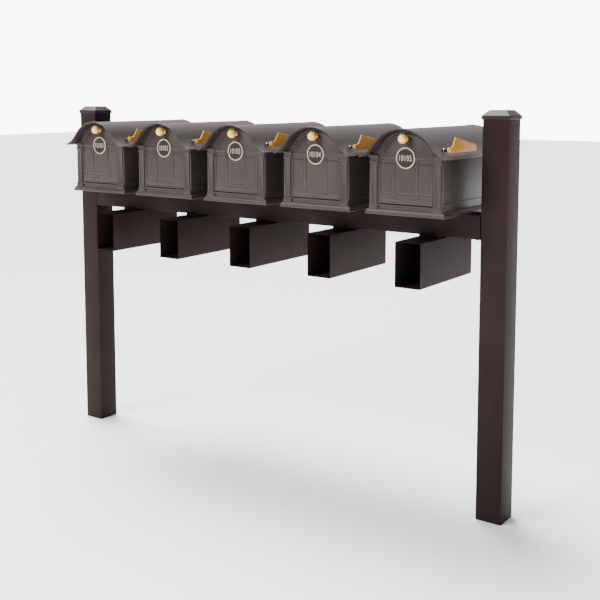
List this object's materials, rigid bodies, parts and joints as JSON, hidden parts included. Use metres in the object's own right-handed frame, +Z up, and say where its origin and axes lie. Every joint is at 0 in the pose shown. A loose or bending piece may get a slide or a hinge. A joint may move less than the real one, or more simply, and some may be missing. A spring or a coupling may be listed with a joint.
{
  "type": "cluster mailbox unit",
  "caption": "Row of post-mounted barrel-roofed mailboxes on a crossbeam between two capped square posts, with drop-down doors, side flags and open newspaper tubes below.",
  "frame": {"origin": "on the ground, at the middle of the unit's length and depth (midway between the posts, below the middle of the roofs' length)", "axes": "+X to the right along the crossbeam as seen from the front, +Y to the back, away from the doors, +Z up"},
  "size_m": [2.1896, 0.586, 1.5176],
  "materials": {
    "powder_coat": "dark bronze satin powder coat with a fine texture",
    "bracket_steel": "dark bronze powder coat",
    "plate_steel": "black paint",
    "screw_steel": "dark bronze painted heads",
    "pin_steel": "plain stainless",
    "magnet": "dark ferrite",
    "pivot_brass": "bright brass",
    "knob_brass": "polished brass, soft gloss",
    "flag_gold": "gold enamel, satin",
    "plaque_bronze": "dark bronze field, cream rim and digits"
  },
  "bodies": {
    "stand": {"left_post": "powder_coat", "right_post": "powder_coat", "left_post_cap": "powder_coat", "right_post_cap": "powder_coat", "crossbeam": "powder_coat", "left_beam_bracket": "bracket_steel", "right_beam_bracket": "bracket_steel", "mounting_plates": "plate_steel", "pan_head_screws": "screw_steel", "door_hinge_pins": "pin_steel", "door_magnets": "magnet", "flag_pivot_screws": "pivot_brass", "base_1": "powder_coat", "housing_1": "powder_coat", "rear_panel_1": "powder_coat", "front_frame_1": "powder_coat", "newspaper_tube_1": "powder_coat", "base_2": "powder_coat", "housing_2": "powder_coat", "rear_panel_2": "powder_coat", "front_frame_2": "powder_coat", "newspaper_tube_2": "powder_coat", "base_3": "powder_coat", "housing_3": "powder_coat", "rear_panel_3": "powder_coat", "front_frame_3": "powder_coat", "newspaper_tube_3": "powder_coat", "base_4": "powder_coat", "housing_4": "powder_coat", "rear_panel_4": "powder_coat", "front_frame_4": "powder_coat", "newspaper_tube_4": "powder_coat", "base_5": "powder_coat", "housing_5": "powder_coat", "rear_panel_5": "powder_coat", "front_frame_5": "powder_coat", "newspaper_tube_5": "powder_coat"},
    "door_1": {"door_1": "powder_coat", "knob_1": "knob_brass", "number_plaque_1": "plaque_bronze"},
    "flag_1": {"flag_1": "flag_gold"},
    "door_2": {"door_2": "powder_coat", "knob_2": "knob_brass", "number_plaque_2": "plaque_bronze"},
    "flag_2": {"flag_2": "flag_gold"},
    "door_3": {"door_3": "powder_coat", "knob_3": "knob_brass", "number_plaque_3": "plaque_bronze"},
    "flag_3": {"flag_3": "flag_gold"},
    "door_4": {"door_4": "powder_coat", "knob_4": "knob_brass", "number_plaque_4": "plaque_bronze"},
    "flag_4": {"flag_4": "flag_gold"},
    "door_5": {"door_5": "powder_coat", "knob_5": "knob_brass", "number_plaque_5": "plaque_bronze"},
    "flag_5": {"flag_5": "flag_gold"}
  },
  "joints": [
    {"name": "door_1_hinge", "type": "hinge", "parent": "stand", "child": "door_1", "pos_m": [-0.776, -0.2485, 1.1829], "axis": [1, 0, 0], "range_deg": [0, 95]},
    {"name": "flag_1_pivot", "type": "hinge", "parent": "stand", "child": "flag_1", "pos_m": [-0.6217, -0.221, 1.37739], "axis": [1, 0, 0], "range_deg": [0, 90]},
    {"name": "door_2_hinge", "type": "hinge", "parent": "stand", "child": "door_2", "pos_m": [-0.388, -0.2485, 1.1829], "axis": [1, 0, 0], "range_deg": [0, 95]},
    {"name": "flag_2_pivot", "type": "hinge", "parent": "stand", "child": "flag_2", "pos_m": [-0.2337, -0.221, 1.37739], "axis": [1, 0, 0], "range_deg": [0, 90]},
    {"name": "door_3_hinge", "type": "hinge", "parent": "stand", "child": "door_3", "pos_m": [0, -0.2485, 1.1829], "axis": [1, 0, 0], "range_deg": [0, 95]},
    {"name": "flag_3_pivot", "type": "hinge", "parent": "stand", "child": "flag_3", "pos_m": [0.1543, -0.221, 1.37739], "axis": [1, 0, 0], "range_deg": [0, 90]},
    {"name": "door_4_hinge", "type": "hinge", "parent": "stand", "child": "door_4", "pos_m": [0.388, -0.2485, 1.1829], "axis": [1, 0, 0], "range_deg": [0, 95]},
    {"name": "flag_4_pivot", "type": "hinge", "parent": "stand", "child": "flag_4", "pos_m": [0.5423, -0.221, 1.37739], "axis": [1, 0, 0], "range_deg": [0, 90]},
    {"name": "door_5_hinge", "type": "hinge", "parent": "stand", "child": "door_5", "pos_m": [0.776, -0.2485, 1.1829], "axis": [1, 0, 0], "range_deg": [0, 95]},
    {"name": "flag_5_pivot", "type": "hinge", "parent": "stand", "child": "flag_5", "pos_m": [0.9303, -0.221, 1.37739], "axis": [1, 0, 0], "range_deg": [0, 90]}
  ]
}
